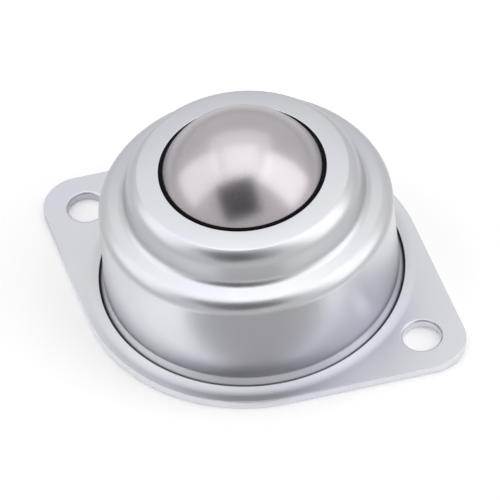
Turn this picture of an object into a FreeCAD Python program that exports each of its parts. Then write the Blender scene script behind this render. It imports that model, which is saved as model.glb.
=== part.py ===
import FreeCAD, Part
import math
import os

# Ball transfer unit: a steel ball turns any way on a bed of small support balls, in a pressed
# housing with a two-hole mounting flange. All sizes are in millimetres.
# The origin is on the mounting face, on the axis of the load ball. +X runs along the line of
# the two mounting holes, and +Z points up, out of the load ball.

# Load ball
ball_diameter = 25.4

# Support balls, in level rows from the bottom of the bowl up to the middle of the load ball
support_ball_diameter = 3.175
ball_bed_clearance = 0.04
support_ball_gap = 0.08
facets_round_support_ball = 8
facets_up_support_ball = 4
rows_of_single_balls = 4

# Support bowl
bowl_wall = 1.2
bowl_floor = 0.95
collar_height = 2.0
collar_gap = 0.06

# Pressed housing. Its radii and heights are worked out for its outer face.
housing_sheet = 1.2
neck_clearance = 0.31
neck_rise = 0.135
neck_bend_radius = 0.3
dome_draft_angle = 13.0
dome_corner_radius = 3.4
coin_depth = 0.078
coin_angle = 7.1
shoulder_width = 3.69
shoulder_angle = 16.0
shoulder_bend_radius = 2.6
skirt_draft = 0.3
flare_height = 2.7
flare_bend_radius = 1.5
flare_angle = 28.0
aperture_gap = 0.38

# Dust seal
seal_height = 2.355
seal_ball_gap = 0.27
seal_fit_clearance = 0.04
seal_web = 0.75
seal_bore_gap = 0.6
wiper_clearance = 0.05
wiper_set_back = 0.12

# Base cap, a pressed cup that closes the underside
cap_sheet = 1.2
cap_rim_height = 5.2
cap_bend_radius = 1.6
cap_fit_clearance = 0.03

# Mounting flange
flange_thickness = 1.45
flange_edge_radius = 0.4
foot_rim_rise = 0.25
foot_rim_width = 0.8
foot_rim_edge_radius = 0.1
flare_seat_gap = 0.04
land_gap = 0.14
flange_rim_width = 2.813
hole_diameter = 5.5
hole_set_out = 5.873
ear_radius = 5.6
ear_set_out = 0.85

# The bed of support balls
ball_radius = ball_diameter / 2
support_radius = support_ball_diameter / 2
track_radius = ball_radius + ball_bed_clearance + support_radius
bowl_inner_radius = track_radius + support_radius + ball_bed_clearance
bowl_outer_radius = bowl_inner_radius + bowl_wall
ball_centre_height = cap_sheet + bowl_floor + bowl_inner_radius
support_pitch = support_ball_diameter + support_ball_gap
support_row_count = 1 + int(math.pi / 2 / (2 * math.asin(support_pitch / 2 / track_radius)))
support_row_angle = math.pi / 2 / (support_row_count - 1)

# The housing's outer face, round the bed from the neck down and up over the seal
neck_radius = bowl_inner_radius + neck_clearance + housing_sheet
neck_height = ball_centre_height + neck_rise
seal_foot = ball_centre_height + support_radius + seal_ball_gap
seal_top = seal_foot + seal_height
dome_height = seal_top + seal_fit_clearance + housing_sheet
dome_slope = math.tan(math.radians(dome_draft_angle))
dome_radius = neck_radius - dome_slope * (dome_height - neck_height)
shoulder_radius = neck_radius + shoulder_width
shoulder_slope = math.tan(math.radians(shoulder_angle))
shoulder_height = neck_height - shoulder_slope * shoulder_width
skirt_foot_radius = shoulder_radius + skirt_draft
skirt_slope = (skirt_foot_radius - shoulder_radius) / (shoulder_height - flare_height)
flare_slope = math.tan(math.radians(flare_angle))

# The coined face round the aperture, which slopes down from the lip to the dome's corner
coin_slope = math.tan(math.radians(coin_angle))
lip_height = dome_height - coin_depth
lip_radius = math.sqrt((ball_radius + aperture_gap) ** 2 - (lip_height - ball_centre_height) ** 2)

# The bowl's rim, under the outer edge of the sloping shoulder
shoulder_underside = shoulder_height - housing_sheet * (
    math.hypot(1, shoulder_slope) - shoulder_slope
)
bowl_rim_height = shoulder_underside - collar_gap

# The flange, from the flared foot outwards
foot_rim_height = flange_thickness + foot_rim_rise
land_radius = skirt_foot_radius + flare_slope * (flare_height - foot_rim_height) + land_gap
flange_centre_radius = land_radius + flange_rim_width
hole_place = land_radius + hole_set_out
ear_place = hole_place + ear_set_out

ball_centre = FreeCAD.Vector(0, 0, ball_centre_height)
foot = FreeCAD.Vector(0, 0, 0)
up = FreeCAD.Vector(0, 0, 1)
beyond = 5.0


def at(radius, height):
    """A point of a section. Sections lie in the XZ plane."""
    return FreeCAD.Vector(radius, 0, height)


def line(start, end):
    return Part.LineSegment(start, end).toShape()


def bent_path(corners):
    """Straight runs joined by arcs. Each corner is a point and the radius of its bend."""
    edges = []
    start = corners[0][0]
    for (before, _), (corner, radius), (after, _) in zip(corners, corners[1:], corners[2:]):
        back = (before - corner).normalize()
        ahead = (after - corner).normalize()
        half_angle = back.getAngle(ahead) / 2
        middle_way = (back + ahead).normalize()
        first = corner + back * (radius / math.tan(half_angle))
        last = corner + ahead * (radius / math.tan(half_angle))
        middle = corner + middle_way * (radius / math.sin(half_angle) - radius)
        edges += [line(start, first), Part.Arc(first, middle, last).toShape()]
        start = last
    return edges + [line(start, corners[-1][0])]


def inner_corners(corners, thickness):
    """The corners of the path on a sheet's other face, to the right of the first one."""
    moved = []
    for index, (corner, radius) in enumerate(corners):
        near = corners[max(index - 1, 0) : index + 2]
        ways = [(after[0] - before[0]).normalize() for before, after in zip(near, near[1:])]
        sides = [at(way.z, -way.x) for way in ways]
        across = sides[0] + sides[-1]
        across.normalize()
        turn = ways[0].x * ways[-1].z - ways[0].z * ways[-1].x
        bend = radius + math.copysign(thickness, turn) if radius else 0
        moved.append((corner + across * (thickness / across.dot(sides[0])), bend))
    return moved


def turned(edges):
    """The solid that a closed section makes when it turns about the axis."""
    section = Part.Face(Part.Wire(Part.sortEdges(edges)[0]))
    return section.revolve(foot, up, 360)


def pressed_sheet(corners, thickness):
    """A turned sheet of even thickness, with the corners on its outer face."""
    inside = inner_corners(corners, thickness)
    ends = [line(corners[0][0], inside[0][0]), line(corners[-1][0], inside[-1][0])]
    return turned(bent_path(corners) + bent_path(inside) + ends)


def disc(radius, low, high):
    return Part.makeCylinder(radius, high - low, FreeCAD.Vector(0, 0, low))


def ball(radius):
    """A ball about the middle of the load ball."""
    return Part.makeSphere(radius, ball_centre)


def circle_edges(shape, radius, height):
    """The circular edges about the axis with this radius, at this height."""
    return [
        edge
        for edge in shape.Edges
        if isinstance(edge.Curve, Part.Circle)
        and abs(edge.Curve.Radius - radius) < 1e-6
        and abs(edge.Curve.Center.z - height) < 1e-6
    ]


def skirt_radius(height):
    """The skirt's outer radius at a height. It widens a little towards its foot."""
    return skirt_foot_radius - skirt_slope * (height - flare_height)


def skirt_inner_radius(height):
    return skirt_radius(height) - housing_sheet * math.hypot(1, skirt_slope)


def flare_radius(height):
    """The outer radius of the flared foot at a height."""
    return skirt_foot_radius + flare_slope * (flare_height - height)


def above_coined_face():
    """The space over the coined face round the aperture."""
    peak = lip_height + coin_slope * lip_radius
    low = peak - coin_slope * dome_radius
    return disc(dome_radius, low, peak).cut(Part.makeCone(dome_radius, 0, peak - low, at(0, low)))


def housing_corners():
    """The housing's outer face from its top down to its foot."""
    return [
        (at(ball_radius - housing_sheet, dome_height), 0),
        (at(dome_radius, dome_height), dome_corner_radius),
        (at(neck_radius, neck_height), neck_bend_radius),
        (at(shoulder_radius, shoulder_height), shoulder_bend_radius),
        (at(skirt_foot_radius, flare_height), flare_bend_radius),
        (at(flare_radius(-beyond), -beyond), 0),
    ]


def room_inside(clearance):
    """The space under the housing's sheet, with a clearance all round."""
    corners = inner_corners(housing_corners(), housing_sheet + clearance)
    top, bottom = corners[0][0], corners[-1][0]
    axis_top, axis_bottom = at(0, top.z), at(0, bottom.z)
    closing = [line(top, axis_top), line(axis_top, axis_bottom), line(axis_bottom, bottom)]
    return turned(bent_path(corners) + closing)


def top_housing():
    """Pressed from one sheet: aperture, dome, shoulder, skirt and a flared foot, cut off level."""
    shell = pressed_sheet(housing_corners(), housing_sheet)
    level_cut = disc(flare_radius(-2 * beyond), -2 * beyond, 0)
    return shell.cut(level_cut).cut(above_coined_face()).cut(ball(ball_radius + aperture_gap))


def flange_outline():
    """Two round ears and a round middle, joined by tangent sides."""
    turn = math.acos((flange_centre_radius - ear_radius) / ear_place)
    rounds = [
        (ear_place, ear_radius, -turn, turn),
        (0, flange_centre_radius, turn, math.pi - turn),
        (-ear_place, ear_radius, math.pi - turn, math.pi + turn),
        (0, flange_centre_radius, math.pi + turn, 2 * math.pi - turn),
    ]
    arcs = []
    for centre, radius, first, last in rounds:
        circle = Part.Circle(FreeCAD.Vector(centre, 0, 0), up, radius)
        arcs.append(Part.ArcOfCircle(circle, first, last).toShape())
    sides = [
        line(arc.valueAt(arc.LastParameter), after.valueAt(after.FirstParameter))
        for arc, after in zip(arcs, arcs[1:] + arcs[:1])
    ]
    return Part.Wire(Part.sortEdges(arcs + sides)[0])


def mounting_flange():
    """A rhombic plate. Its countersunk centre hole grips the flared foot of the housing."""
    plate = Part.Face(flange_outline()).extrude(up * flange_thickness)
    rims = [edge for edge in plate.Edges if abs(edge.tangentAt(edge.FirstParameter).z) < 0.5]
    plate = plate.makeFillet(flange_edge_radius, rims)
    foot_rim_radius = land_radius + foot_rim_width
    plate = plate.fuse(
        Part.makeCone(foot_rim_radius, land_radius, foot_rim_rise, at(0, flange_thickness))
    )

    seat_gap = flare_seat_gap * math.hypot(1, flare_slope)
    land_foot = foot_rim_height - (land_gap - seat_gap) / flare_slope
    plate = plate.cut(Part.makeCone(flare_radius(0) + seat_gap, land_radius, land_foot))
    plate = plate.cut(disc(land_radius, land_foot, foot_rim_height))
    plate = plate.makeFillet(
        foot_rim_edge_radius, circle_edges(plate, land_radius, foot_rim_height)
    )

    hole_radius = hole_diameter / 2
    for place in (at(-hole_place, 0), at(hole_place, 0)):
        plate = plate.cut(Part.makeCylinder(hole_radius, flange_thickness, place))
    return plate.makeFillet(
        flange_edge_radius, circle_edges(plate, hole_radius, flange_thickness)
    )


def base_cap():
    """A shallow pressed cup, pushed into the skirt from below. The bowl stands on it."""
    rim_radius = skirt_inner_radius(cap_rim_height) - cap_fit_clearance
    return pressed_sheet(
        [
            (at(rim_radius, cap_rim_height), 0),
            (at(rim_radius, 0), cap_bend_radius),
            (at(0, 0), 0),
        ],
        cap_sheet,
    )


def support_bowl():
    """A hardened bowl. Its collar centres it under the shoulder, and a flat stands on the cap."""
    collar_radius = skirt_inner_radius(bowl_rim_height) - collar_gap
    collar = disc(collar_radius, bowl_rim_height - collar_height, bowl_rim_height)
    collar = collar.makeFillet(
        shoulder_bend_radius - housing_sheet, circle_edges(collar, collar_radius, bowl_rim_height)
    )
    bowl = ball(bowl_outer_radius).fuse(collar)
    bowl = bowl.common(disc(collar_radius + beyond, cap_sheet, bowl_rim_height))
    return bowl.cut(ball(bowl_inner_radius))


def dust_seal():
    """A rubber ring held in the corner of the dome. Its thin lip wipes the load ball."""
    web_foot = seal_top - seal_web
    ring = room_inside(seal_fit_clearance).common(disc(shoulder_radius, seal_foot, seal_top))
    ring = ring.cut(disc(ball_radius + seal_bore_gap, seal_foot, web_foot))
    wiper = ball(ball_radius + aperture_gap - seal_fit_clearance)
    wiper = wiper.common(disc(ball_diameter, web_foot, lip_height - wiper_set_back))
    return ring.fuse(wiper).cut(ball(ball_radius + wiper_clearance)).removeSplitter()


def flat_sided_ball():
    """A support ball at the origin. It has flat facets, because there are over a hundred of it."""
    rings = []
    for ring in range(facets_up_support_ball):
        latitude = math.pi * ((ring + 0.5) / facets_up_support_ball - 0.5)
        corner = FreeCAD.Vector(math.cos(latitude), 0, math.sin(latitude)) * support_radius
        turn = FreeCAD.Rotation(up, 360 / facets_round_support_ball)
        corners = [corner]
        while len(corners) < facets_round_support_ball:
            corners.append(turn.multVec(corners[-1]))
        rings.append(corners)
    outlines = [rings[0], rings[-1]]
    for low, high in zip(rings, rings[1:]):
        for side in range(facets_round_support_ball):
            outlines.append([low[side - 1], low[side], high[side], high[side - 1]])
    faces = [Part.Face(Part.makePolygon(corners + corners[:1])) for corners in outlines]
    shell = Part.makeShell(faces)
    shell.sewShape()
    return Part.makeSolid(shell)


def support_row(row):
    """The balls of one level row, counted from the bottom of the bowl."""
    row_radius = track_radius * math.sin(row * support_row_angle)
    height = ball_centre_height - track_radius * math.cos(row * support_row_angle)
    if row_radius < support_pitch:
        return [flat_sided_ball().translated(at(0, height))]
    count = int(math.pi / math.asin(support_pitch / 2 / row_radius))
    first = flat_sided_ball().translated(at(row_radius, height))
    return [first.rotated(foot, up, 360 * place / count) for place in range(count)]


def support_balls():
    """Each ball is a node of its own in the lower rows. The fuller upper rows are a node each."""
    nodes = {}
    for row in range(support_row_count):
        balls = support_row(row)
        if row == support_row_count - 1:
            nodes["side_support_ball"] = balls.pop(0)
        if row < rows_of_single_balls:
            for number, single in enumerate(balls):
                nodes[f"support_ball_{row + 1}_{number + 1:02d}"] = single
        else:
            nodes[f"support_balls_row_{row + 1}"] = Part.makeCompound(balls)
    return nodes


def main():
    nodes = {
        "top_housing": top_housing(),
        "mounting_flange": mounting_flange(),
        "base_cap": base_cap(),
        "support_bowl": support_bowl(),
        "dust_seal": dust_seal(),
        "load_ball": ball(ball_radius),
        **support_balls(),
    }
    os.makedirs("parts", exist_ok=True)
    for name, shape in nodes.items():
        shape.exportStep(f"parts/{name}.step")


main()
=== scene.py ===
import math

import bmesh
import bpy
from bpy.props import FloatProperty, FloatVectorProperty, IntProperty, PointerProperty
from mathutils import Matrix, Vector


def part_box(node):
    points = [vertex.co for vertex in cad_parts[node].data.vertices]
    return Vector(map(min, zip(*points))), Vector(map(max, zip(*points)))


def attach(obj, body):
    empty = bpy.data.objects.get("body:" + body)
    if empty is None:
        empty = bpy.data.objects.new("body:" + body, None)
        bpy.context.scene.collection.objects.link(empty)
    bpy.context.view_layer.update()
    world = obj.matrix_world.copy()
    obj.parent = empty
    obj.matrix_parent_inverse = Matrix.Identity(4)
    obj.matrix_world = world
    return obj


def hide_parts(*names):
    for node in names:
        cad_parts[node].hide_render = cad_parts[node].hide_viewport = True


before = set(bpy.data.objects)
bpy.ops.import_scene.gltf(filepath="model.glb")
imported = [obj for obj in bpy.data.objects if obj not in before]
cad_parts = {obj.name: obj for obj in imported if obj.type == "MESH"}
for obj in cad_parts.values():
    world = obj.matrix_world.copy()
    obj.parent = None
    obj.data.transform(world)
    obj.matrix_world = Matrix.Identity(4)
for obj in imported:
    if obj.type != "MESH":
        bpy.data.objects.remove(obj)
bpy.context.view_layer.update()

# Ball transfer unit: a satin steel ball in a zinc plated housing on a rhombic flange, with the
# studio that it is shown in. The pieces are made in metres, round the Z axis, where they belong.

bl_info = {
    "name": "Ball Transfer Unit",
    "version": (1, 0, 0),
    "blender": (4, 5, 0),
    "location": "3D View > Sidebar > Ball Unit",
    "description": "Makes the pieces, finishes and studio of a ball transfer unit",
    "category": "Add Mesh",
}

MM = 0.001
MERGE_DISTANCE = 0.0005 * MM
EAR_RADIUS = 5.6 * MM

# How finely curves are cut into faces, and the angle from which an edge stays sharp.
LIP_STEPS = 4
ARC_STEPS = 16
ROUND_STEPS = 64
HOLE_STEPS = 160
EDGE_STEPS = 8
BALL_SUBDIVISIONS = 6
SHARP_ANGLE = math.radians(40)

# A face is level where its normal's upright part reaches this.
LEVEL = 0.9999

# How much large faces count in the normals of a piece. This is the most that they can.
FLAT_FACE_WEIGHT = 100

METAL = 1.0
NOT_METAL = 0.0

# The lowest and highest roughness of each finish. The plating is a little duller on the stamped
# flange than on the drawn pieces.
DRAWN_SATIN = (0.32, 0.37)
STAMPED_SATIN = (0.41, 0.45)
BALL_SATIN = (0.25, 0.28)
GROUND_SATIN = (0.36, 0.44)
LAPPED_POLISH = (0.08, 0.12)
RUBBER_DULLNESS = (0.72, 0.82)

# The part of a noise that is stretched over a range. Noise mostly stays from 0.3 to 0.7, so the
# first pair brings it out softly, the second one firmly and the third one faintly.
SOFT_PATCHES = (0.3, 0.7)
FIRM_PATCHES = (0.42, 0.58)
FAINT_PATCHES = (0.0, 1.0)
FULL_RANGE = (0.0, 1.0)

# Plating, polish, lapping and grinding leave marks too fine for the picture, so that each grain
# is drawn coarser than it is.
PLATING_GRAIN = 0.22 * MM
POLISH_GRAIN = 0.3 * MM
LAPPED_GRAIN = 0.2 * MM
GRINDING_RING = 0.4 * MM

# The rubber hardly shines, and its clouds are a little lighter than the rest of it.
MOULD_GRAIN = 0.1 * MM
RUBBER_SHINE = 0.1
RUBBER_CLOUD_GAIN = 1.6

# The studio, in metres and degrees. Azimuth 0 is in front of the unit, on -Y.
WHITE = "#FFFFFF"
FLOOR_SIZE = 8.0

# How much brighter the paper looks to the eye, and in the metal, than it lights the unit. In the
# metal it is
# a painted pool of light: the metal shows the first gain up to the near reach round a middle in
# front of the axis, and the second one past the far reach.
FLOOR_GAIN = 1.3
METAL_FLOOR_GAINS = (2.1, 1.2)
METAL_FLOOR_REACH = (0.026, 0.055)
METAL_FLOOR_MIDDLE = (0.0110, -0.0167, 0)

# The azimuth, elevation, width and height of each lamp, and the power of a lamp of strength 1, in
# watts for each square metre of its face.
LAMP_POWER = 4
LAMP_DISTANCE = 0.6
TOP_SOFTBOX = (213, 88, 0.44, 0.44)
OVERHEAD_SCRIM = (213, 80, 0.80, 0.90)
LEFT_SOFTBOX = (-56, 36, 0.50, 0.60)
RIGHT_SOFTBOX = (110, 34, 0.50, 0.70)

# The dark card round the lens, turned and dropped from the line of sight, and rolled about it. Only
# the
# metal sees it: it paints a dark reflection of the shade round the camera.
FLAG_SIZE = 0.46
FLAG_DISTANCE = 0.5
FLAG_TURN = math.radians(-11)
FLAG_DROP = math.radians(7)
FLAG_ROLL = math.radians(20)

# The grey card that lies on the floor in front. Only the metal sees it: it paints shade on the
# floor just in front of the unit.
FRONT_CARD_SIZE = 0.046
FRONT_CARD_DISTANCE = 0.049
FRONT_CARD_LIFT = 0.0001

CARD_ROUGHNESS = 0.9
CARD_CLOUD_GAIN = 0.9
CARD_CLOUD = 30 * MM

# How many times nearer and farther than the unit the camera sees.
CLIP_RATIO = 10


# Sizes and colours

def length(name, millimetres, description):
    """A length setting, given in millimetres and kept in metres."""
    return FloatProperty(
        name=name, description=description, default=millimetres * MM, unit="LENGTH", precision=5
    )


def linear(hex_colour):
    """The linear colour of an sRGB hex value."""
    shades = [int(hex_colour[place : place + 2], 16) / 255 for place in (1, 3, 5)]
    lights = [s / 12.92 if s <= 0.04045 else ((s + 0.055) / 1.055) ** 2.4 for s in shades]
    return tuple(lights) + (1,)


def times(linear_colour, gain):
    """A linear colour made this many times as light."""
    return tuple(gain * light for light in linear_colour[:3]) + (1,)


def colour(name, hex_colour, description):
    """A colour setting, given as an sRGB hex value and kept linear."""
    return FloatVectorProperty(
        name=name,
        description=description,
        default=linear(hex_colour),
        subtype="COLOR",
        size=4,
        min=0,
        max=1,
    )


class BallSizes(bpy.types.PropertyGroup):
    radius: length(
        "Ball radius",
        (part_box("load_ball")[1].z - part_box("load_ball")[0].z) / 2 / MM,
        "Radius of the load ball",
    )
    centre_height: length(
        "Ball centre height",
        (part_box("load_ball")[1].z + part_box("load_ball")[0].z) / 2 / MM,
        "Height of the load ball's middle over the mounting face",
    )


class HousingSizes(bpy.types.PropertyGroup):
    sheet: length("Sheet", 1.2, "Thickness of the pressed sheet")
    sheet_edge_radius: length("Sheet edge radius", 0.12, "Rounding of the sheet's cut edges")
    lip_height: length(
        "Lip height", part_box("top_housing")[1].z / MM, "Height of the coined face at the aperture"
    )
    coin_angle: FloatProperty(
        name="Coin angle",
        description="Slope of the coined face, down from the aperture",
        default=math.radians(6),
        subtype="ANGLE",
    )
    coin_crown: FloatProperty(
        name="Coin crown",
        description="How far the coined face bends to each side of its slope",
        default=math.radians(2),
        subtype="ANGLE",
    )
    dome_height: length("Dome height", 23.5575, "Height of the dome before its top is coined")
    dome_draft: FloatProperty(
        name="Dome draft",
        description="How far the dome's wall leans in from upright",
        default=math.radians(13),
        subtype="ANGLE",
    )
    dome_corner_radius: length("Dome corner radius", 3.4, "Outer bend at the edge of the dome")
    crease_radius: length("Crease radius", 0.8, "Soft bend between the coined face and the dome")
    crease_end: FloatProperty(
        name="Crease end",
        description="Slope where the crease runs into the dome's own bend",
        default=math.radians(32),
        subtype="ANGLE",
    )
    neck_radius: length("Neck radius", 17.465, "Outer radius where the dome meets the shoulder")
    neck_height: length("Neck height", 18.24, "Height of the neck")
    neck_bend_radius: length("Neck bend radius", 1.4, "Hollow bend at the neck")
    shoulder_radius: length("Shoulder radius", 21.155, "Outer radius at the shoulder")
    shoulder_height: length("Shoulder height", 17.182, "Height of the shoulder's outer edge")
    shoulder_bend_radius: length("Shoulder bend radius", 2.4, "Outer bend at the shoulder")
    skirt_foot_radius: length("Skirt foot radius", 21.455, "Outer radius at the skirt's foot")
    flare_height: length("Flare height", 2.7, "Height where the foot begins to flare")
    flare_bend_radius: length("Flare bend radius", 0.8, "Hollow bend over the flare")
    flare_foot_radius: length(
        "Flare foot radius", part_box("top_housing")[1].x / MM, "Outer radius of the flared foot"
    )
    aperture_gap: length("Aperture gap", 0.38, "Gap between the load ball and the housing's lip")


class SealSizes(bpy.types.PropertyGroup):
    fit_clearance: length("Fit clearance", 0.04, "Clearance between the seal and the housing")
    web: length("Web", 0.75, "Thickness of the seal's web")
    bore_gap: length("Bore gap", 0.6, "Gap between the ball's radius and the bore under the web")
    wiper_clearance: length("Wiper clearance", 0.05, "Clearance between the wiper and the ball")
    foot_height: length("Foot height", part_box("dust_seal")[0].z / MM, "Height of the seal's foot")
    lip_height: length("Lip height", 23.57, "Height of the wiper's lip")


class CapSizes(bpy.types.PropertyGroup):
    sheet: length("Sheet", 1.2, "Thickness of the pressed cap")
    bend_radius: length("Bend radius", 1.6, "Outer bend of the cap")
    rim_height: length("Rim height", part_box("base_cap")[1].z / MM, "Height of the cap's rim")
    rim_radius: length("Rim radius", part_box("base_cap")[1].x / MM, "Outer radius of the cap")


class FlangeSizes(bpy.types.PropertyGroup):
    thickness: length("Thickness", 1.45, "Thickness of the flange")
    centre_radius: length(
        "Centre radius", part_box("mounting_flange")[1].y / MM, "Radius of the round middle"
    )
    ear_radius: length("Ear radius", EAR_RADIUS / MM, "Radius of each ear")
    ear_place: length(
        "Ear place",
        (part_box("mounting_flange")[1].x - EAR_RADIUS) / MM,
        "Distance from the axis to the middle of each ear",
    )
    hole_place: length("Hole place", 28.0, "Distance from the axis to each mounting hole")
    hole_radius: length("Hole radius", 2.75, "Radius of the mounting holes")
    hole_edge_radius: length("Hole edge radius", 0.4, "Rounding of the mounting holes' rims")
    edge_radius: length("Edge radius", 0.12, "Rounding of the stamped outer edge")
    rim_rise: length("Rim rise", 0.35, "Rise of the flange to the rim of its centre hole")
    rim_width: length("Rim width", 1.7, "Width of the raised rim round the centre hole")
    rim_edge_radius: length("Rim edge radius", 0.1, "Rounding of the raised rim")
    land_radius: length("Land radius", 22.28, "Radius of the centre hole at its rim")
    land_foot: length("Land foot", 1.522, "Height where the countersink begins")
    countersink_radius: length("Countersink radius", 22.936, "Radius of the hole at the underside")


class FinishColours(bpy.types.PropertyGroup):
    zinc: colour("Zinc", "#BDBEC1", "Zinc plate")
    zinc_tint: colour("Zinc tint", "#BABAC2", "Passive film on the zinc plate, in faint clouds")
    ball_steel: colour("Ball steel", "#B1ABAF", "Satin polished ball")
    ball_steel_tint: colour("Ball steel tint", "#ABA5AB", "Faint clouds on the polished ball")
    bowl_steel: colour("Bowl steel", "#8E8C8B", "Hardened and ground bowl")
    bearing_steel: colour("Bearing steel", "#CFCFD2", "Polished support balls")
    rubber: colour("Rubber", "#060607", "Moulded seal")
    floor: colour("Floor", "#F2F2F2", "Plain paper floor")
    floor_tint: colour("Floor tint", "#F0F0F0", "Faint clouds on the paper")
    # The flag's colour is a painted dark reflection: only the metal sees the flag.
    flag: colour("Flag", "#6A6A6A", "Dark card round the lens")
    # The front card's colour is painted shade, seen only in the metal.
    front_card: colour("Front card", "#DCDCDC", "Grey card on the floor in front")


class StudioSettings(bpy.types.PropertyGroup):
    azimuth: FloatProperty(
        name="Azimuth",
        description="Direction of the camera round the unit",
        default=math.radians(33.48),
        subtype="ANGLE",
    )
    elevation: FloatProperty(
        name="Elevation",
        description="Height of the camera over the horizon",
        default=math.radians(48.34),
        subtype="ANGLE",
    )
    roll: FloatProperty(
        name="Roll",
        description="Turn of the camera about its line of sight",
        default=math.radians(-5.42),
        subtype="ANGLE",
    )
    distance: length("Distance", 776, "Distance from the camera to the point it looks at")
    aim_height: length("Aim height", 5.87, "Height of the point that the camera looks at")
    lens: FloatProperty(
        name="Lens", description="Focal length in millimetres", default=386.5, subtype="NONE"
    )
    room_light: FloatProperty(
        name="Room light", description="Strength of the room's even light", default=0.4
    )
    top_light: FloatProperty(
        name="Top light", description="Strength of the lamp at the top", default=0.5
    )
    overhead_light: FloatProperty(
        name="Overhead light", description="Strength of the wide scrim overhead", default=0.38
    )
    left_light: FloatProperty(
        name="Left light", description="Strength of the lamp on the left", default=0.65
    )
    right_light: FloatProperty(
        name="Right light", description="Strength of the lamp on the right", default=0.9
    )


class UnitSettings(bpy.types.PropertyGroup):
    ball: PointerProperty(type=BallSizes)
    housing: PointerProperty(type=HousingSizes)
    seal: PointerProperty(type=SealSizes)
    cap: PointerProperty(type=CapSizes)
    flange: PointerProperty(type=FlangeSizes)
    colours: PointerProperty(type=FinishColours)
    studio: PointerProperty(type=StudioSettings)
    turn_steps: IntProperty(
        name="Turn steps", description="Faces round each turned piece", default=240, min=24
    )
    bend_steps: IntProperty(
        name="Bend steps", description="Faces along each bend", default=12, min=2
    )


# Nodes and materials

def add_node(tree, kind, inputs=None, **settings):
    """Adds a node. An input is a value, or the output of another node to link."""
    node = tree.nodes.new(kind)
    for name, value in settings.items():
        setattr(node, name, value)
    for name, value in (inputs or {}).items():
        if isinstance(value, bpy.types.NodeSocket):
            tree.links.new(value, node.inputs[name])
        else:
            node.inputs[name].default_value = value
    return node


def new_material(name):
    """An empty material with its output, and the object coordinates in metres."""
    material = bpy.data.materials.new(name)
    material.use_nodes = True
    tree = material.node_tree
    tree.nodes.clear()
    output = add_node(tree, "ShaderNodeOutputMaterial")
    place = add_node(tree, "ShaderNodeTexCoord").outputs["Object"]
    return material, tree, output, place


def sized(place, feature, detail=3.0):
    """The inputs of a noise whose features are this large, in metres."""
    return {"Vector": place, "Scale": 1 / feature, "Detail": detail}


def from_to(value, reach, goal):
    """The inputs that carry a value from one range of numbers over to another."""
    return {
        "Value": value,
        "From Min": reach[0],
        "From Max": reach[1],
        "To Min": goal[0],
        "To Max": goal[1],
    }


def patches(tree, place, feature, goal=FULL_RANGE, spread=SOFT_PATCHES):
    """A number that runs over a range in patches of this size, in metres."""
    noise = add_node(tree, "ShaderNodeTexNoise", sized(place, feature)).outputs["Fac"]
    return add_node(tree, "ShaderNodeMapRange", from_to(noise, spread, goal)).outputs["Result"]


def clouded(tree, place, feature, colour_a, colour_b, spread=SOFT_PATCHES):
    """Two colours in clouds of this size, in metres."""
    return add_node(
        tree,
        "ShaderNodeMix",
        {"Factor": patches(tree, place, feature, spread=spread), "A": colour_a, "B": colour_b},
        data_type="RGBA",
    ).outputs["Result"]


def surface(tree, output, base, roughness, metallic, grain, grain_depth):
    """A principled surface with a fine bump, grain_depth in metres."""
    bump = add_node(
        tree, "ShaderNodeBump", {"Height": grain, "Strength": 1.0, "Distance": grain_depth}
    )
    shader = add_node(
        tree,
        "ShaderNodeBsdfPrincipled",
        {"Roughness": roughness, "Metallic": metallic, "Normal": bump.outputs["Normal"]},
    )
    tree.links.new(base, shader.inputs["Base Color"])
    tree.links.new(shader.outputs["BSDF"], output.inputs["Surface"])
    return shader


def zinc_plated_steel(colours, satin):
    """Pressed steel, tumbled and zinc plated: an even satin with a faint blue and violet film."""
    material, tree, output, place = new_material("zinc_plated_pressed_steel")
    base = clouded(tree, place, 14 * MM, colours.zinc, colours.zinc_tint)
    roughness = patches(tree, place, 5 * MM, satin)
    grain = add_node(tree, "ShaderNodeTexNoise", sized(place, PLATING_GRAIN, detail=2.0))
    surface(tree, output, base, roughness, METAL, grain.outputs["Fac"], grain_depth=0.0012 * MM)
    return material


def satin_ball_steel(colours):
    """Ground and polished bearing steel: a soft mirror, warmer and darker than zinc."""
    material, tree, output, place = new_material("satin_polished_bearing_steel")
    base = clouded(tree, place, 9 * MM, colours.ball_steel, colours.ball_steel_tint)
    roughness = patches(tree, place, 3 * MM, BALL_SATIN)
    grain = add_node(tree, "ShaderNodeTexNoise", sized(place, POLISH_GRAIN, detail=2.0))
    surface(tree, output, base, roughness, METAL, grain.outputs["Fac"], grain_depth=0.0002 * MM)
    return material


def ground_bowl_steel(colours):
    """Hardened steel, turned and ground: dull, with fine rings round its axis."""
    material, tree, output, place = new_material("hardened_ground_steel")
    rings = add_node(
        tree,
        "ShaderNodeTexWave",
        {"Vector": place, "Scale": 1 / GRINDING_RING, "Distortion": 0.4},
        wave_type="RINGS",
        rings_direction="Z",
    ).outputs["Fac"]
    base = clouded(tree, place, 6 * MM, colours.bowl_steel, colours.bearing_steel)
    satin = add_node(tree, "ShaderNodeMapRange", from_to(rings, SOFT_PATCHES, GROUND_SATIN))
    surface(tree, output, base, satin.outputs["Result"], METAL, rings, grain_depth=0.001 * MM)
    return material


def polished_bearing_steel(colours):
    """Lapped bearing steel: bright and nearly a mirror."""
    material, tree, output, place = new_material("lapped_bearing_steel")
    base = clouded(tree, place, 2 * MM, colours.bearing_steel, colours.zinc)
    roughness = patches(tree, place, 2 * MM, LAPPED_POLISH, FIRM_PATCHES)
    grain = add_node(tree, "ShaderNodeTexNoise", sized(place, LAPPED_GRAIN)).outputs["Fac"]
    surface(tree, output, base, roughness, METAL, grain, grain_depth=0.0002 * MM)
    return material


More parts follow.
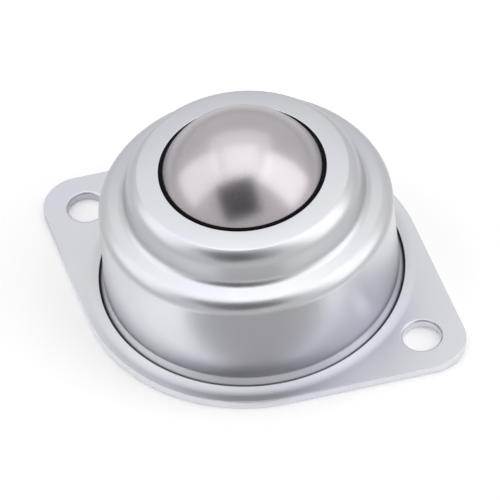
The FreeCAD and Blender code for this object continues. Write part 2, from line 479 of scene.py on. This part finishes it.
def moulded_rubber(colours):
    """Moulded black rubber: dull, with a fine mould grain."""
    material, tree, output, place = new_material("moulded_black_rubber")
    paler = times(colours.rubber, RUBBER_CLOUD_GAIN)
    base = clouded(tree, place, 1.5 * MM, colours.rubber, paler)
    roughness = patches(tree, place, 1.5 * MM, RUBBER_DULLNESS, FIRM_PATCHES)
    grain = add_node(tree, "ShaderNodeTexNoise", sized(place, MOULD_GRAIN)).outputs["Fac"]
    shader = surface(tree, output, base, roughness, NOT_METAL, grain, grain_depth=0.004 * MM)
    shader.inputs["Specular IOR Level"].default_value = RUBBER_SHINE
    return material


# Making pieces

def piece_from(name, mesh, material):
    """A piece of the scene from a mesh."""
    mesh.name = name
    mesh.materials.clear()
    mesh.materials.append(material)
    piece = bpy.data.objects.new(name, mesh)
    bpy.context.scene.collection.objects.link(piece)
    return piece


def finished(piece, body, node):
    """Hands a finished piece to its body, in place of its node, which it hides."""
    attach(piece, body)
    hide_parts(node)


def keep_flats_flat(piece):
    """Large flat faces keep their own normal, and the bends beside them take the turn."""
    modifier = piece.modifiers.new("flats", "WEIGHTED_NORMAL")
    modifier.weight = FLAT_FACE_WEIGHT
    modifier.keep_sharp = True


def turned_section(tree, given):
    """Rounds the corners of the closed section and turns it about the Z axis."""
    section = add_node(tree, "GeometryNodeMeshToCurve", {"Mesh": given["Section"]})
    bend = add_node(
        tree, "GeometryNodeInputNamedAttribute", {"Name": "bend_radius"}, data_type="FLOAT"
    )
    rounded = add_node(
        tree,
        "GeometryNodeFilletCurve",
        {
            "Curve": section.outputs["Curve"],
            "Count": given["Bend Steps"],
            "Radius": bend.outputs["Attribute"],
        },
        mode="POLY",
    )
    circle = add_node(
        tree,
        "GeometryNodeCurvePrimitiveCircle",
        {"Resolution": given["Turn Steps"], "Radius": given["Turning Radius"]},
    )
    return add_node(
        tree,
        "GeometryNodeCurveToMesh",
        {"Curve": circle.outputs["Curve"], "Profile Curve": rounded.outputs["Curve"]},
    ).outputs["Mesh"]


def closed_and_shaded(tree, given, turned):
    """Closes the seam and the middle, and leaves only the sharp edges sharp."""
    merged = add_node(
        tree, "GeometryNodeMergeByDistance", {"Geometry": turned, "Distance": MERGE_DISTANCE}
    )
    angle = add_node(tree, "GeometryNodeInputMeshEdgeAngle").outputs["Unsigned Angle"]
    soft = add_node(
        tree,
        "FunctionNodeCompare",
        {"A": angle, "B": given["Sharp Angle"]},
        data_type="FLOAT",
        operation="LESS_THAN",
    )
    return add_node(
        tree,
        "GeometryNodeSetShadeSmooth",
        {"Geometry": merged.outputs["Geometry"], "Shade Smooth": soft.outputs["Result"]},
        domain="EDGE",
    ).outputs["Geometry"]


def turning_tree():
    """A node tree that makes a turned piece from the outline of its section."""
    tree = bpy.data.node_groups.new("turned_section", "GeometryNodeTree")
    tree.is_modifier = True
    for name, kind in (
        ("Section", "Geometry"),
        ("Bend Steps", "Int"),
        ("Turn Steps", "Int"),
        ("Turning Radius", "Float"),
        ("Sharp Angle", "Float"),
        ("Material", "Material"),
    ):
        tree.interface.new_socket(name, in_out="INPUT", socket_type="NodeSocket" + kind)
    tree.interface.new_socket("Piece", in_out="OUTPUT", socket_type="NodeSocketGeometry")
    given = add_node(tree, "NodeGroupInput").outputs
    shaded = closed_and_shaded(tree, given, turned_section(tree, given))
    real = add_node(tree, "GeometryNodeRealizeInstances", {"Geometry": shaded})
    painted = add_node(
        tree,
        "GeometryNodeSetMaterial",
        {"Geometry": real.outputs["Geometry"], "Material": given["Material"]},
    )
    add_node(tree, "NodeGroupOutput", {"Piece": painted.outputs["Geometry"]})
    return tree


def section_outline(name, corners, turning_radius):
    """A scratch object with the closed outline of a section, and the bend of each corner."""
    section = bpy.data.meshes.new(name)
    section.from_pydata(
        [(radius - turning_radius, -height, 0) for radius, height, _ in corners],
        [(place, (place + 1) % len(corners)) for place in range(len(corners))],
        [],
    )
    bends = section.attributes.new("bend_radius", "FLOAT", "POINT")
    bends.data.foreach_set("value", [bend for _, _, bend in corners])
    holder = bpy.data.objects.new(name, section)
    bpy.context.scene.collection.objects.link(holder)
    return holder


def turned_piece(name, corners, material):
    """Turns a closed section about the Z axis. Each corner is a radius, a height and a bend.

    The corners run clockwise, seen with the axis on the left, so that the faces point outwards.
    """
    unit = bpy.context.scene.ball_unit
    turning_radius = max(radius for radius, _, _ in corners)
    holder = section_outline(name + "_section", corners, turning_radius)
    tree = bpy.data.node_groups.get("turned_section") or turning_tree()
    modifier = holder.modifiers.new("turn", "NODES")
    modifier.node_group = tree
    inputs = {item.name: item.identifier for item in tree.interface.items_tree}
    modifier[inputs["Bend Steps"]] = unit.bend_steps
    modifier[inputs["Turn Steps"]] = unit.turn_steps
    modifier[inputs["Turning Radius"]] = turning_radius
    modifier[inputs["Sharp Angle"]] = SHARP_ANGLE
    modifier[inputs["Material"]] = material
    evaluated = holder.evaluated_get(bpy.context.evaluated_depsgraph_get())
    mesh = bpy.data.meshes.new_from_object(evaluated)
    bpy.data.objects.remove(holder)
    piece = piece_from(name, mesh, material)
    keep_flats_flat(piece)
    return piece


def inner_face(outer, sheet):
    """The corners of a sheet's other face, on the right of the way that the first one runs."""
    moved = []
    for place, (radius, height, bend) in enumerate(outer):
        near = [Vector(corner[:2]) for corner in outer[max(place - 1, 0) : place + 2]]
        ways = [(after - before).normalized() for before, after in zip(near, near[1:])]
        side = Vector((ways[0].y, -ways[0].x))
        across = (side + Vector((ways[-1].y, -ways[-1].x))).normalized()
        shift = across * (sheet / across.dot(side))
        turn = ways[0].cross(ways[-1])
        inner_bend = bend + math.copysign(sheet, turn) if turn else bend
        moved.append((radius + shift.x, height + shift.y, inner_bend))
    return moved


def on_ball(ball, gap, height):
    """The radius at a height of the sphere that lies this gap outside the load ball."""
    return math.sqrt((ball.radius + gap) ** 2 - (height - ball.centre_height) ** 2)


def arc(middle, radius, first, last):
    """Corners along an arc. Its angles are measured from straight up, turning outwards."""
    turns = [first + (last - first) * step / ARC_STEPS for step in range(ARC_STEPS + 1)]
    return [
        (middle.x + radius * math.sin(turn), middle.y + radius * math.cos(turn), 0)
        for turn in turns
    ]


def from_upright(turn):
    """The way that is turned outwards this far from straight up, as a radius and a height."""
    return Vector((math.sin(turn), math.cos(turn)))


def dome_radius(size):
    """The radius where the dome's wall would reach its full height."""
    return size.neck_radius - math.tan(size.dome_draft) * (size.dome_height - size.neck_height)


def dome_bend_middle(size):
    """The middle of the bend at the edge of the dome: its radius and height."""
    bend = size.dome_corner_radius
    half_turn = (math.pi / 2 - size.dome_draft) / 2
    return Vector((dome_radius(size) - bend * math.tan(half_turn), size.dome_height - bend))


def coined_dome(size, lip):
    """A faintly crowned face from the lip, a soft crease, and the dome's bend to its wall."""
    middle = dome_bend_middle(size)
    bend, crease = size.dome_corner_radius, size.crease_radius
    steepest = size.coin_angle + size.coin_crown
    crease_middle = middle + (bend - crease) * from_upright(size.crease_end)
    crease_bend = arc(crease_middle, crease, steepest, size.crease_end)
    crease_start = Vector(crease_bend[0][:2])
    face_length = (crease_start.x - lip) / math.cos(size.coin_angle)
    crown = face_length / (2 * math.sin(size.coin_crown))
    face_middle = crease_start - crown * from_upright(steepest)
    face = arc(face_middle, crown, size.coin_angle - size.coin_crown, steepest)
    lip_corner = face[0][:2] + (size.sheet_edge_radius,)
    dome_bend = arc(middle, bend, size.crease_end, math.pi / 2 - size.dome_draft)
    return [lip_corner] + face[1:-1] + crease_bend[:-1] + dome_bend


def housing_section(unit):
    """The pressed sheet from its aperture over the dome and the shoulder to the flared foot.

    Its inner face follows the dome as it is before its top is coined.
    """
    size, edge = unit.housing, unit.housing.sheet_edge_radius
    lip = on_ball(unit.ball, size.aperture_gap, size.lip_height)
    walls = [
        (size.neck_radius, size.neck_height, size.neck_bend_radius),
        (size.shoulder_radius, size.shoulder_height, size.shoulder_bend_radius),
        (size.skirt_foot_radius, size.flare_height, size.flare_bend_radius),
        (size.flare_foot_radius, 0, edge),
    ]
    dome_corner = (dome_radius(size), size.dome_height, size.dome_corner_radius)
    inner = inner_face([(lip, size.dome_height, edge), dome_corner] + walls, size.sheet)
    underside = size.dome_height - size.sheet
    inner[0] = (on_ball(unit.ball, size.aperture_gap, underside), underside, edge)
    flare = math.atan2(size.flare_foot_radius - size.skirt_foot_radius, size.flare_height)
    inner[-1] = (size.flare_foot_radius - size.sheet / math.cos(flare), 0, edge)
    return coined_dome(size, lip) + walls + inner[::-1]


def seal_section(unit):
    """A ring in the corner of the dome, with a thin lip that follows the load ball."""
    size, housing = unit.seal, unit.housing
    middle = dome_bend_middle(housing)
    ring_corner = housing.dome_corner_radius - housing.sheet - size.fit_clearance
    ring_top = middle.y + ring_corner
    ring_face = arc(middle, ring_corner, 0, math.pi / 2 - housing.dome_draft)
    face_radius, face_height, _ = ring_face[-1]
    foot_radius = face_radius + math.tan(housing.dome_draft) * (face_height - size.foot_height)
    web_foot = ring_top - size.web
    bore = unit.ball.radius + size.bore_gap
    back_gap = housing.aperture_gap - size.fit_clearance

    def lip_face(gap, first, last):
        heights = [first + (last - first) * step / LIP_STEPS for step in range(LIP_STEPS + 1)]
        return [(on_ball(unit.ball, gap, height), height, 0) for height in heights]

    return (
        lip_face(back_gap, size.lip_height, ring_top)
        + ring_face
        + [(foot_radius, size.foot_height, 0), (bore, size.foot_height, 0), (bore, web_foot, 0)]
        + lip_face(size.wiper_clearance, web_foot, size.lip_height)
    )


def cap_section(unit):
    """A shallow cup, open upwards."""
    size, edge = unit.cap, unit.housing.sheet_edge_radius
    inner_radius = size.rim_radius - size.sheet
    return [
        (size.rim_radius, size.rim_height, edge),
        (size.rim_radius, 0, size.bend_radius),
        (0, 0, 0),
        (0, size.sheet, 0),
        (inner_radius, size.sheet, size.bend_radius - size.sheet),
        (inner_radius, size.rim_height, edge),
    ]


def flange_outline(size, inset):
    """Points round the flange: two round ears and a round middle, with straight tangents."""
    turn = math.acos((size.centre_radius - size.ear_radius) / size.ear_place)
    rounds = [
        (size.ear_place, size.ear_radius, -turn, turn),
        (0, size.centre_radius, turn, math.pi - turn),
        (-size.ear_place, size.ear_radius, math.pi - turn, math.pi + turn),
        (0, size.centre_radius, math.pi + turn, 2 * math.pi - turn),
    ]
    points = []
    for middle, radius, first, last in rounds:
        for step in range(ROUND_STEPS + 1):
            angle = first + (last - first) * step / ROUND_STEPS
            points.append(
                (
                    middle + (radius - inset) * math.cos(angle),
                    (radius - inset) * math.sin(angle),
                )
            )
    return points


def circle_points(middle, radius):
    """Points round a hole."""
    turns = [2 * math.pi * step / HOLE_STEPS for step in range(HOLE_STEPS)]
    return [(middle + radius * math.cos(turn), radius * math.sin(turn)) for turn in turns]


def rounded_edge(edge_radius):
    """Steps down a rounded top edge: how far each lies in from the wall, and below the top."""
    turns = [math.pi / 2 * step / EDGE_STEPS for step in range(EDGE_STEPS + 1)]
    return [
        (edge_radius * (1 - math.sin(turn)), edge_radius * (1 - math.cos(turn)))
        for turn in turns
    ]


def wall(shape, outlines):
    """Joins outlines of equal length into a wall, and gives its first and last rings."""
    rings = []
    for points, height in outlines:
        ring = [shape.verts.new((x, y, height)) for x, y in points]
        rings.append(ring)
    for ring, after in zip(rings, rings[1:]):
        for place in range(len(ring)):
            shape.faces.new((ring[place - 1], ring[place], after[place], after[place - 1]))
    return rings[0], rings[-1]


def flat_face(shape, rings):
    """Fills between an outline and the holes in it."""
    edges = []
    for ring in rings:
        edges += [shape.edges.get((ring[place - 1], ring[place])) for place in range(len(ring))]
    bmesh.ops.triangle_fill(shape, edges=edges, use_beauty=True)


def centre_hole(size):
    """Rings up the hollow slope of the raised rim, over its edge and down the countersink."""
    edge = size.rim_edge_radius
    slope_width = size.rim_width - edge
    steepest = math.atan2(size.rim_rise * math.pi / 2, slope_width)
    middle_height = size.thickness + size.rim_rise - edge * math.cos(steepest)
    crest = size.land_radius + edge * (1 + math.sin(steepest))
    section = []
    for step in range(ARC_STEPS):
        rise = size.rim_rise * (1 - math.cos(math.pi / 2 * step / ARC_STEPS))
        inward = slope_width * step / ARC_STEPS
        section.append((crest + slope_width - inward, size.thickness + rise, 0))
    section += arc(Vector((size.land_radius + edge, middle_height)), edge, steepest, -math.pi / 2)
    section += [(size.land_radius, size.land_foot, 0), (size.countersink_radius, 0, 0)]
    return [(circle_points(0, radius), height) for radius, height, _ in section]


def flange_mesh(size):
    """The rhombic plate, with stamped edges, two holes and a countersunk centre hole."""
    shape = bmesh.new()
    steps = rounded_edge(size.edge_radius)
    outline = [(flange_outline(size, inset), size.thickness - drop) for inset, drop in steps]
    outline += [(flange_outline(size, inset), drop) for inset, drop in steps[::-1]]
    walls = [wall(shape, outline), wall(shape, centre_hole(size))]
    for middle in (-size.hole_place, size.hole_place):
        hole = [
            (circle_points(middle, size.hole_radius + inset), size.thickness - drop)
            for inset, drop in rounded_edge(size.hole_edge_radius)
        ]
        walls.append(wall(shape, hole + [(circle_points(middle, size.hole_radius), 0)]))
    flat_face(shape, [top for top, _ in walls])
    flat_face(shape, [bottom for _, bottom in walls])
    bmesh.ops.recalc_face_normals(shape, faces=shape.faces)
    for face in shape.faces:
        face.smooth = abs(face.normal.z) < LEVEL
    for edge in shape.edges:
        edge.smooth = edge.calc_face_angle() < SHARP_ANGLE
    mesh = bpy.data.meshes.new("flange")
    shape.to_mesh(mesh)
    shape.free()
    return mesh


def ball_mesh(size):
    """A ball of even triangles, so that no pole shows when it turns."""
    shape = bmesh.new()
    bmesh.ops.create_icosphere(
        shape,
        subdivisions=BALL_SUBDIVISIONS,
        radius=size.radius,
        matrix=Matrix.Translation((0, 0, size.centre_height)),
    )
    for face in shape.faces:
        face.smooth = True
    mesh = bpy.data.meshes.new("ball")
    shape.to_mesh(mesh)
    shape.free()
    return mesh


def paint_node(node, material):
    """Gives a CAD node a material through its object's slots."""
    for slot in node.material_slots:
        slot.link = "OBJECT"
        slot.material = material


# The studio

def toward(azimuth, elevation):
    """The direction from the unit to a place round it and over its horizon, in radians."""
    return Vector(
        (
            math.sin(azimuth) * math.cos(elevation),
            -math.cos(azimuth) * math.cos(elevation),
            math.sin(elevation),
        )
    )


def facing(direction, distance):
    """The placement of a lamp or card that stands off that way and faces the unit."""
    turn = direction.to_track_quat("Z", "Y").to_matrix().to_4x4()
    return Matrix.Translation(direction * distance) @ turn


def stage_plane(name, size, placement, material):
    """A square of the studio, for the floor or a card."""
    shape = bmesh.new()
    bmesh.ops.create_grid(shape, x_segments=1, y_segments=1, size=size / 2)
    mesh = bpy.data.meshes.new(name)
    shape.to_mesh(mesh)
    shape.free()
    plane = piece_from(name, mesh, material)
    plane.matrix_world = placement
    return plane


def seen_in_metal(tree, path):
    """1 for what shows in a reflection, and 0 for everything else."""
    return add_node(
        tree,
        "ShaderNodeMath",
        {0: path["Is Glossy Ray"], 1: path["Is Transmission Ray"]},
        operation="MAXIMUM",
    ).outputs["Value"]


def seen_by_eye_or_metal(tree):
    """1 for what the camera sees straight or in a reflection, and 0 for the light on things."""
    path = add_node(tree, "ShaderNodeLightPath").outputs
    return add_node(
        tree,
        "ShaderNodeMath",
        {0: path["Is Camera Ray"], 1: seen_in_metal(tree, path)},
        operation="MAXIMUM",
    ).outputs["Value"]


def paper_gain(tree, place):
    """How much brighter the paper looks, to the eye and in the metal, than it lights the unit. In
    the metal it is a painted pool of light in front of the unit.
    """
    path = add_node(tree, "ShaderNodeLightPath").outputs
    distance = add_node(
        tree, "ShaderNodeVectorMath", {0: place, 1: METAL_FLOOR_MIDDLE}, operation="DISTANCE"
    ).outputs["Value"]
    # Painted light: a pool of brighter paper that only the metal sees, brightest near the front of
    # the unit.
    near_to_far = from_to(distance, METAL_FLOOR_REACH, METAL_FLOOR_GAINS)
    lit = add_node(tree, "ShaderNodeMapRange", near_to_far).outputs["Result"]
    painted_pool_in_metal = add_node(
        tree, "ShaderNodeMath", {0: seen_in_metal(tree, path), 1: lit}, operation="MULTIPLY"
    ).outputs["Value"]
    unseen_to_seen = from_to(path["Is Camera Ray"], FULL_RANGE, (1.0, FLOOR_GAIN))
    to_eye = add_node(tree, "ShaderNodeMapRange", unseen_to_seen).outputs["Result"]
    return add_node(
        tree, "ShaderNodeMath", {0: to_eye, 1: painted_pool_in_metal}, operation="MAXIMUM"
    ).outputs["Value"]


def paper_floor(colours):
    """Matt white paper. It is seen brighter than it lights the unit, and it keeps its shadow. In
    the metal it shows a painted pool of light in front of the unit.
    """
    material, tree, output, place = new_material("matt_white_paper")
    paper = clouded(tree, place, 60 * MM, colours.floor, colours.floor_tint, FAINT_PATCHES)
    shown = add_node(
        tree,
        "ShaderNodeVectorMath",
        {"Vector": paper, "Scale": paper_gain(tree, place)},
        operation="SCALE",
    ).outputs["Vector"]
    shader = add_node(tree, "ShaderNodeBsdfDiffuse", {"Color": shown})
    tree.links.new(shader.outputs["BSDF"], output.inputs["Surface"])
    return material


def matt_card(name, card_colour):
    """Matt grey card, so that metal has something darker than the room to show. It paints a dark
    reflection in the metal.
    """
    material, tree, output, place = new_material(name)
    darker = times(card_colour, CARD_CLOUD_GAIN)
    base = clouded(tree, place, CARD_CLOUD, card_colour, darker, FAINT_PATCHES)
    waves = add_node(tree, "ShaderNodeTexNoise", sized(place, CARD_CLOUD)).outputs["Fac"]
    surface(tree, output, base, CARD_ROUGHNESS, NOT_METAL, waves, grain_depth=0.1 * MM)
    return material


def reflected_card(name, size, placement, card_colour):
    """A card that shows in the metal, but is neither seen nor shades the unit: a painted dark
    reflection.
    """
    card = stage_plane(name, size, placement, matt_card("matt_" + name, card_colour))
    card.visible_camera = False
    card.visible_diffuse = False
    card.visible_shadow = False


def white_room(level):
    """A white room: even light on the unit, and white where the eye or the metal sees it."""
    world = bpy.data.worlds.new("white_room")
    world.use_nodes = True
    tree = world.node_tree
    tree.nodes.clear()
    white = linear(WHITE)
    lit = add_node(tree, "ShaderNodeBackground", {"Color": white, "Strength": level})
    shown = add_node(tree, "ShaderNodeBackground", {"Color": white, "Strength": 1.0})
    mixed = add_node(tree, "ShaderNodeMixShader", {0: seen_by_eye_or_metal(tree)})
    tree.links.new(lit.outputs["Background"], mixed.inputs[1])
    tree.links.new(shown.outputs["Background"], mixed.inputs[2])
    add_node(tree, "ShaderNodeOutputWorld", {"Surface": mixed.outputs["Shader"]})
    bpy.context.scene.world = world


def softbox(name, placing, strength):
    """A soft lamp that faces the unit. The metal shows it on top of the white room behind it."""
    azimuth, elevation, width, height = placing
    lamp = bpy.data.lights.new(name, "AREA")
    lamp.shape = "RECTANGLE"
    lamp.size = width
    lamp.size_y = height
    lamp.energy = LAMP_POWER * width * height * strength
    holder = bpy.data.objects.new(name, lamp)
    bpy.context.scene.collection.objects.link(holder)
    direction = toward(math.radians(azimuth), math.radians(elevation))
    holder.matrix_world = facing(direction, LAMP_DISTANCE)
    holder.visible_camera = False


def photo_camera(studio):
    """The camera at the photograph's angle, turned a little about its line of sight."""
    back = toward(studio.azimuth, studio.elevation)
    right = Vector((math.cos(studio.azimuth), math.sin(studio.azimuth), 0))
    up = back.cross(right)
    tilt = Matrix.Rotation(studio.roll, 3, "Z")
    turn = Matrix((right, up, back)).transposed() @ tilt
    data = bpy.data.cameras.new("photo_camera")
    data.lens = studio.lens
    data.clip_start = studio.distance / CLIP_RATIO
    data.clip_end = studio.distance * CLIP_RATIO
    camera = bpy.data.objects.new("photo_camera", data)
    bpy.context.scene.collection.objects.link(camera)
    place = Vector((0, 0, studio.aim_height)) + back * studio.distance
    camera.matrix_world = Matrix.Translation(place) @ turn.to_4x4()
    bpy.context.scene.camera = camera


# Operators

class BALLUNIT_OT_housing(bpy.types.Operator):
    """Makes the pressed housing: dome, shoulder, skirt and flared foot"""

    bl_idname = "ball_unit.make_housing"
    bl_label = "Pressed housing"

    def execute(self, context):
        unit = context.scene.ball_unit
        steel = zinc_plated_steel(unit.colours, DRAWN_SATIN)
        piece = turned_piece("pressed_housing", housing_section(unit), steel)
        finished(piece, "housing", "top_housing")
        return {"FINISHED"}


class BALLUNIT_OT_flange(bpy.types.Operator):
    """Makes the rhombic mounting flange with its two holes"""

    bl_idname = "ball_unit.make_flange"
    bl_label = "Mounting flange"

    def execute(self, context):
        unit = context.scene.ball_unit
        steel = zinc_plated_steel(unit.colours, STAMPED_SATIN)
        piece = piece_from("rhombic_flange", flange_mesh(unit.flange), steel)
        keep_flats_flat(piece)
        finished(piece, "housing", "mounting_flange")
        return {"FINISHED"}


class BALLUNIT_OT_base_cap(bpy.types.Operator):
    """Makes the pressed cup that closes the underside"""

    bl_idname = "ball_unit.make_base_cap"
    bl_label = "Base cap"

    def execute(self, context):
        unit = context.scene.ball_unit
        steel = zinc_plated_steel(unit.colours, DRAWN_SATIN)
        piece = turned_piece("pressed_base_cap", cap_section(unit), steel)
        finished(piece, "housing", "base_cap")
        return {"FINISHED"}


class BALLUNIT_OT_dust_seal(bpy.types.Operator):
    """Makes the black ring that wipes the load ball"""

    bl_idname = "ball_unit.make_dust_seal"
    bl_label = "Dust seal"

    def execute(self, context):
        unit = context.scene.ball_unit
        rubber = moulded_rubber(unit.colours)
        piece = turned_piece("wiper_seal", seal_section(unit), rubber)
        finished(piece, "housing", "dust_seal")
        return {"FINISHED"}


class BALLUNIT_OT_load_ball(bpy.types.Operator):
    """Makes the satin load ball"""

    bl_idname = "ball_unit.make_load_ball"
    bl_label = "Load ball"

    def execute(self, context):
        unit = context.scene.ball_unit
        piece = piece_from("satin_load_ball", ball_mesh(unit.ball), satin_ball_steel(unit.colours))
        finished(piece, "load_ball", "load_ball")
        return {"FINISHED"}


class BALLUNIT_OT_inner_pieces(bpy.types.Operator):
    """Finishes the bowl and the support balls inside the housing"""

    bl_idname = "ball_unit.finish_inner_pieces"
    bl_label = "Bowl and support balls"

    def execute(self, context):
        colours = context.scene.ball_unit.colours
        paint_node(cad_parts["support_bowl"], ground_bowl_steel(colours))
        lapped = polished_bearing_steel(colours)
        for name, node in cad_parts.items():
            if "support_ball" in name:
                paint_node(node, lapped)
        return {"FINISHED"}


class BALLUNIT_OT_studio(bpy.types.Operator):
    """Sets up the floor, the lamps, the room and the camera"""

    bl_idname = "ball_unit.set_up_studio"
    bl_label = "Studio"

    def execute(self, context):
        unit = context.scene.ball_unit
        studio = unit.studio
        colours = unit.colours
        stage_plane("floor", FLOOR_SIZE, Matrix.Identity(4), paper_floor(colours))
        # A painted dark reflection: a card round the lens that only the metal sees.
        flag_way = toward(studio.azimuth + FLAG_TURN, studio.elevation - FLAG_DROP)
        flag_place = facing(flag_way, FLAG_DISTANCE) @ Matrix.Rotation(FLAG_ROLL, 4, "Z")
        reflected_card("lens_flag", FLAG_SIZE, flag_place, colours.flag)
        # Painted shade on the floor in front, seen only in the metal.
        front = toward(studio.azimuth, 0) * FRONT_CARD_DISTANCE + Vector((0, 0, FRONT_CARD_LIFT))
        on_floor = Matrix.Translation(front) @ Matrix.Rotation(studio.azimuth, 4, "Z")
        reflected_card("front_card", FRONT_CARD_SIZE, on_floor, colours.front_card)
        white_room(studio.room_light)
        softbox("top_softbox", TOP_SOFTBOX, studio.top_light)
        softbox("overhead_scrim", OVERHEAD_SCRIM, studio.overhead_light)
        softbox("left_softbox", LEFT_SOFTBOX, studio.left_light)
        softbox("right_softbox", RIGHT_SOFTBOX, studio.right_light)
        photo_camera(studio)
        context.scene.view_settings.view_transform = "Standard"
        return {"FINISHED"}


class BALLUNIT_PT_panel(bpy.types.Panel):
    """Lists the pieces of the unit and its sizes"""

    bl_idname = "BALLUNIT_PT_panel"
    bl_label = "Ball Transfer Unit"
    bl_space_type = "VIEW_3D"
    bl_region_type = "UI"
    bl_category = "Ball Unit"

    def draw(self, context):
        unit = context.scene.ball_unit
        for operator in MAKERS:
            self.layout.operator(operator.bl_idname)
        self.layout.prop(unit, "turn_steps")
        self.layout.prop(unit, "bend_steps")
        for group in (unit.ball, unit.housing, unit.seal, unit.cap, unit.flange, unit.colours):
            box = self.layout.box()
            for name in group.bl_rna.properties.keys():
                if name not in ("rna_type", "name"):
                    box.prop(group, name)


GROUPS = (
    BallSizes,
    HousingSizes,
    SealSizes,
    CapSizes,
    FlangeSizes,
    FinishColours,
    StudioSettings,
    UnitSettings,
)
MAKERS = (
    BALLUNIT_OT_housing,
    BALLUNIT_OT_flange,
    BALLUNIT_OT_base_cap,
    BALLUNIT_OT_dust_seal,
    BALLUNIT_OT_load_ball,
    BALLUNIT_OT_inner_pieces,
    BALLUNIT_OT_studio,
)


def register():
    for group in GROUPS + MAKERS + (BALLUNIT_PT_panel,):
        bpy.utils.register_class(group)
    bpy.types.Scene.ball_unit = PointerProperty(type=UnitSettings)


def unregister():
    del bpy.types.Scene.ball_unit
    for group in reversed(GROUPS + MAKERS + (BALLUNIT_PT_panel,)):
        bpy.utils.unregister_class(group)


def main():
    register()
    bpy.ops.ball_unit.make_housing()
    bpy.ops.ball_unit.make_flange()
    bpy.ops.ball_unit.make_base_cap()
    bpy.ops.ball_unit.make_dust_seal()
    bpy.ops.ball_unit.make_load_ball()
    bpy.ops.ball_unit.finish_inner_pieces()
    bpy.ops.ball_unit.set_up_studio()


if __name__ == "__main__":
    main()
